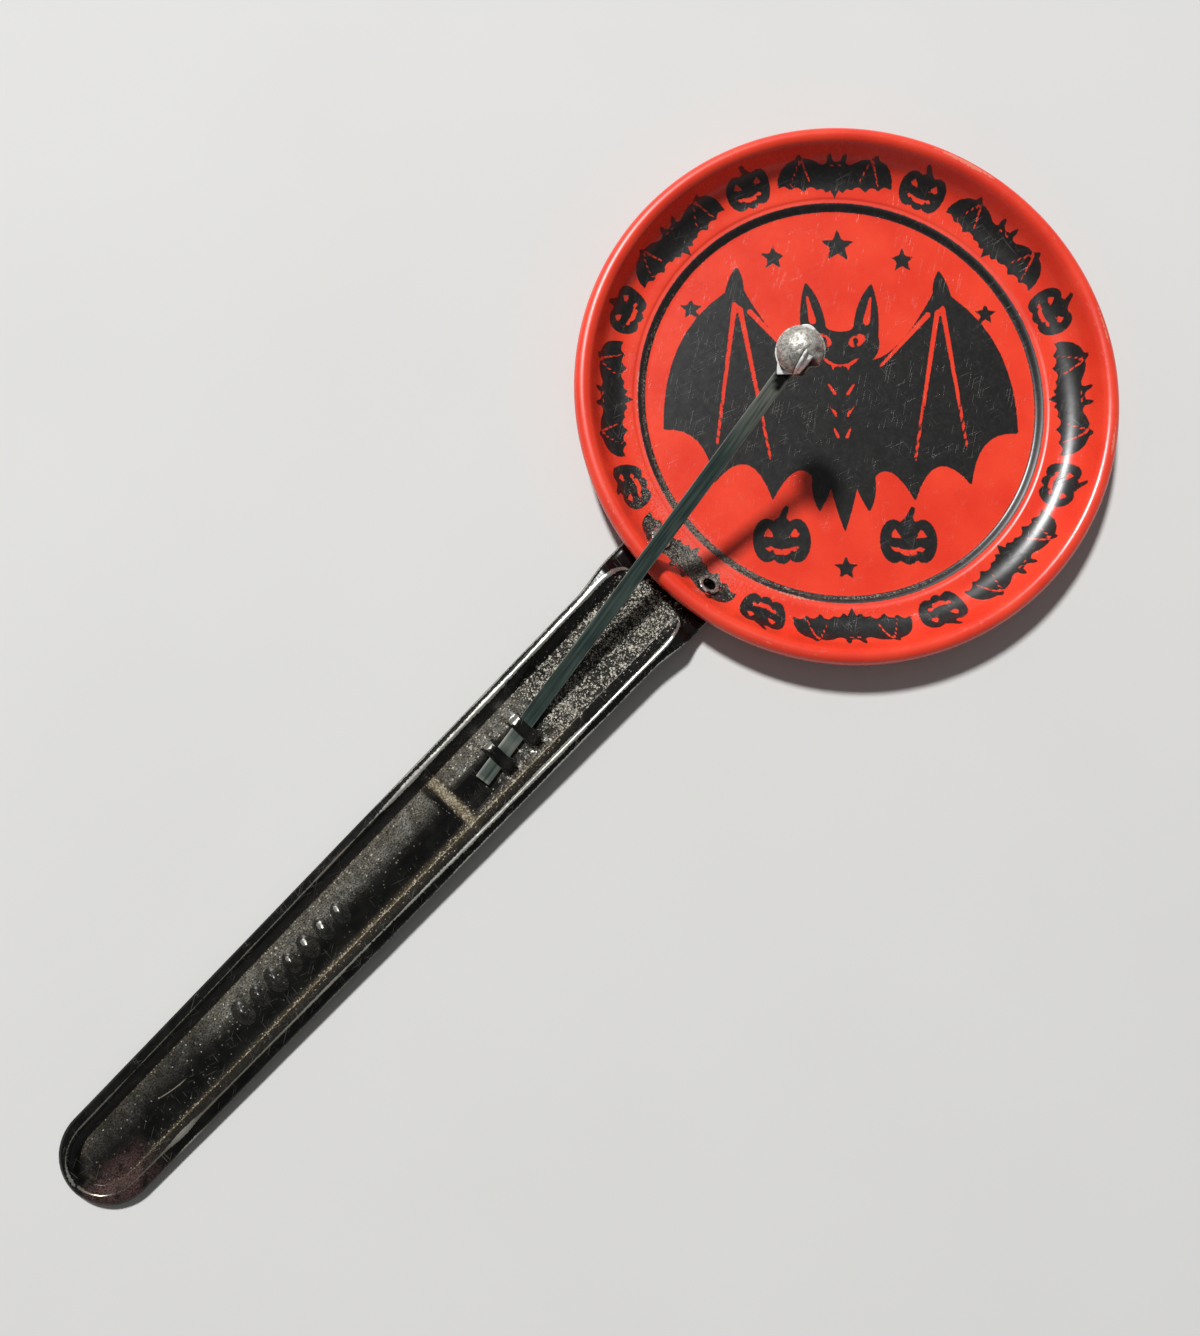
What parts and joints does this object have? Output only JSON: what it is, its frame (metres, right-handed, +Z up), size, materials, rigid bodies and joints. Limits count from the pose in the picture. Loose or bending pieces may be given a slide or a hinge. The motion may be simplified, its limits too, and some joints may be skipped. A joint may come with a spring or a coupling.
{
  "type": "tin clacker noisemaker",
  "caption": "Pressed-tin party clacker: round pan with rolled rim on a trough handle, and a ball hammer on a flat spring strip that swings down to strike the pan.",
  "frame": {"origin": "middle of the pan's flat underside, which rests on the table", "axes": "+X from the handle's tail to the pan, +Z up out of the printed face, +Y to the side over which the strip leans"},
  "size_m": [0.1888, 0.078, 0.0215],
  "materials": {
    "red_litho_tin": "glossy red enamel with matt black print, scratched and rubbed at the rim",
    "black_japanned_tin": "worn black japan, dusty floor, bright rubbed edges, rust at the tail",
    "bare_tin": "bare tinned steel, slightly tarnished",
    "blued_spring_steel": "dark blued spring steel, satin",
    "dull_hammer_metal": "dull grey beaten metal with bright edges"
  },
  "bodies": {
    "toy": {"pan": "red_litho_tin", "handle": "black_japanned_tin", "eyelet_left": "bare_tin", "eyelet_right": "bare_tin", "strip_root": "blued_spring_steel"},
    "strip": {"strip_lower": "blued_spring_steel"},
    "hammer": {"strip_upper": "blued_spring_steel", "hammer_upper": "dull_hammer_metal", "hammer_lower": "dull_hammer_metal"}
  },
  "joints": [
    {"name": "flex_root", "type": "hinge", "parent": "toy", "child": "strip", "pos_m": [-0.06273, 0.00058, 0.00243], "axis": [-0.1253, 0.9921, 0], "range_deg": [-3.7, 3.7], "stiffness_Nm_per_rad": 0.6},
    {"name": "flex_knee", "type": "hinge", "parent": "strip", "child": "hammer", "pos_m": [-0.03584, 0.00397, 0.0086], "axis": [-0.1253, 0.9921, 0], "range_deg": [-21.4, 21.4]}
  ],
  "couplings": [
    {"joint": "flex_knee", "follows": "flex_root", "ratio": 5.5}
  ]
}
